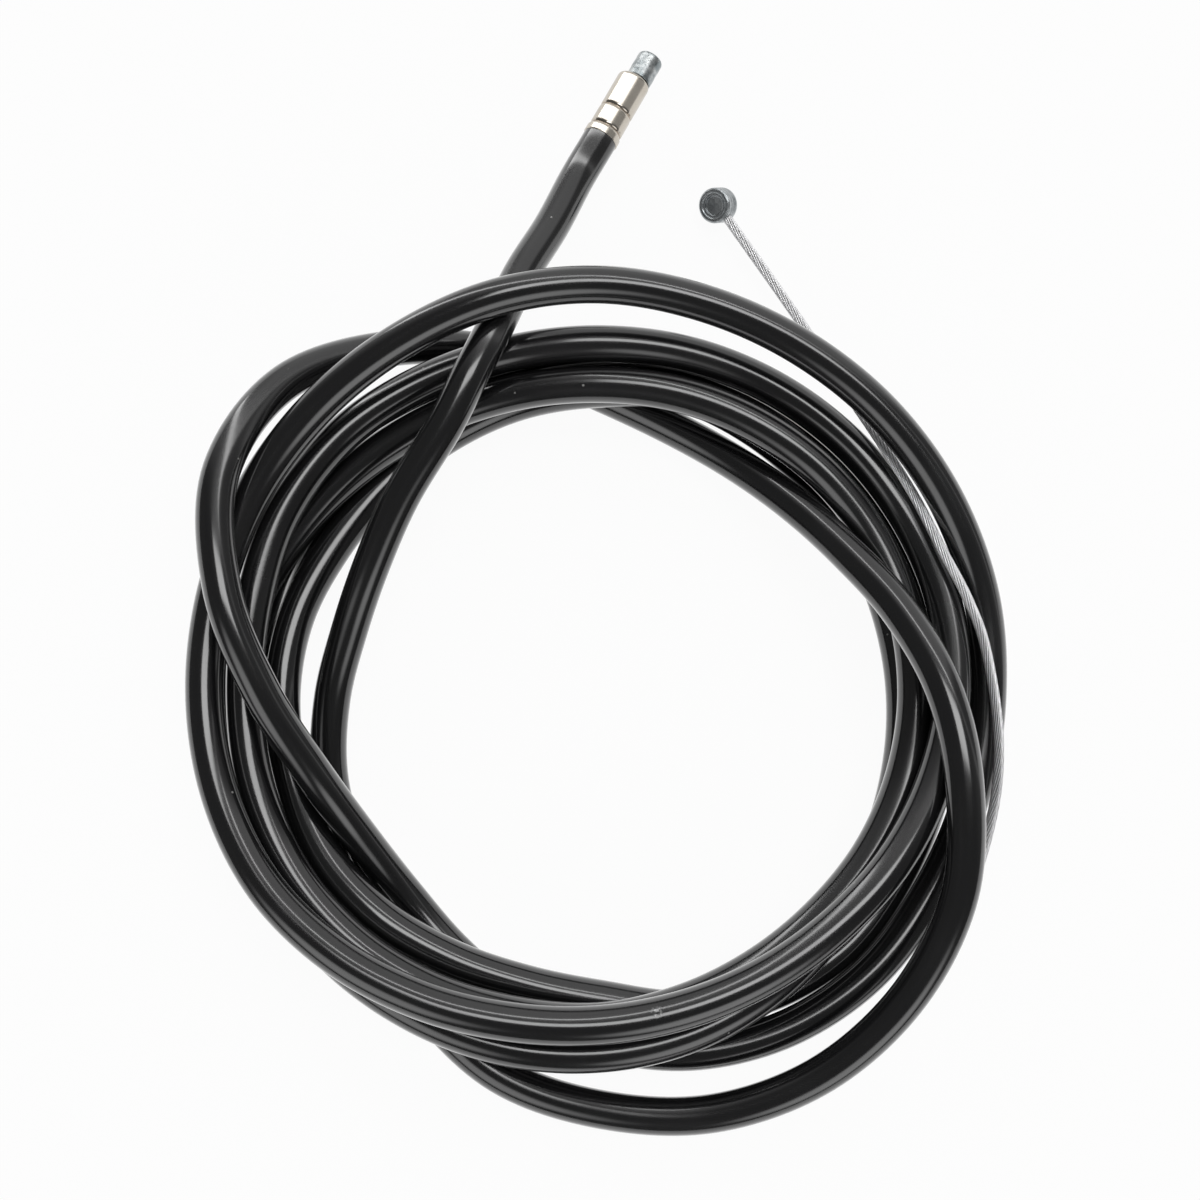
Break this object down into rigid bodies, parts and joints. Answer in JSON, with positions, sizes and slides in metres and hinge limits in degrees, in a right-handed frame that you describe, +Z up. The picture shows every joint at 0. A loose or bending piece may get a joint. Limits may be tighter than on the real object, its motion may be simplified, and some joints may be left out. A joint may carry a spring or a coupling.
{
  "type": "shift cable",
  "caption": "Coiled shift cable: black jacketed housing in loose turns, nickel end ferrule, inner wire with an inline nipple and a barrel nipple.",
  "frame": {"origin": "on the ground plane, below the middle of the whole coil", "axes": "+Z up off the ground plane, +Y towards the ferrule end of the housing, +X to the right of it seen from above"},
  "size_m": [0.1095, 0.1501, 0.025],
  "materials": {
    "jacket": "glossy black extruded jacket with fine scuffs",
    "winding": "drawn flat wire, satin",
    "wire": "bright stranded wire",
    "ferrule": "warm nickel plate, polished",
    "inline_zinc": "mottled die-cast zinc, satin",
    "barrel_zinc": "turned zinc, satin"
  },
  "bodies": {
    "root": {"housing_jacket": "jacket", "spiral_winding": "winding", "inner_wire": "wire", "end_ferrule": "ferrule", "inline_nipple": "inline_zinc", "barrel_nipple": "barrel_zinc"}
  },
  "joints": []
}
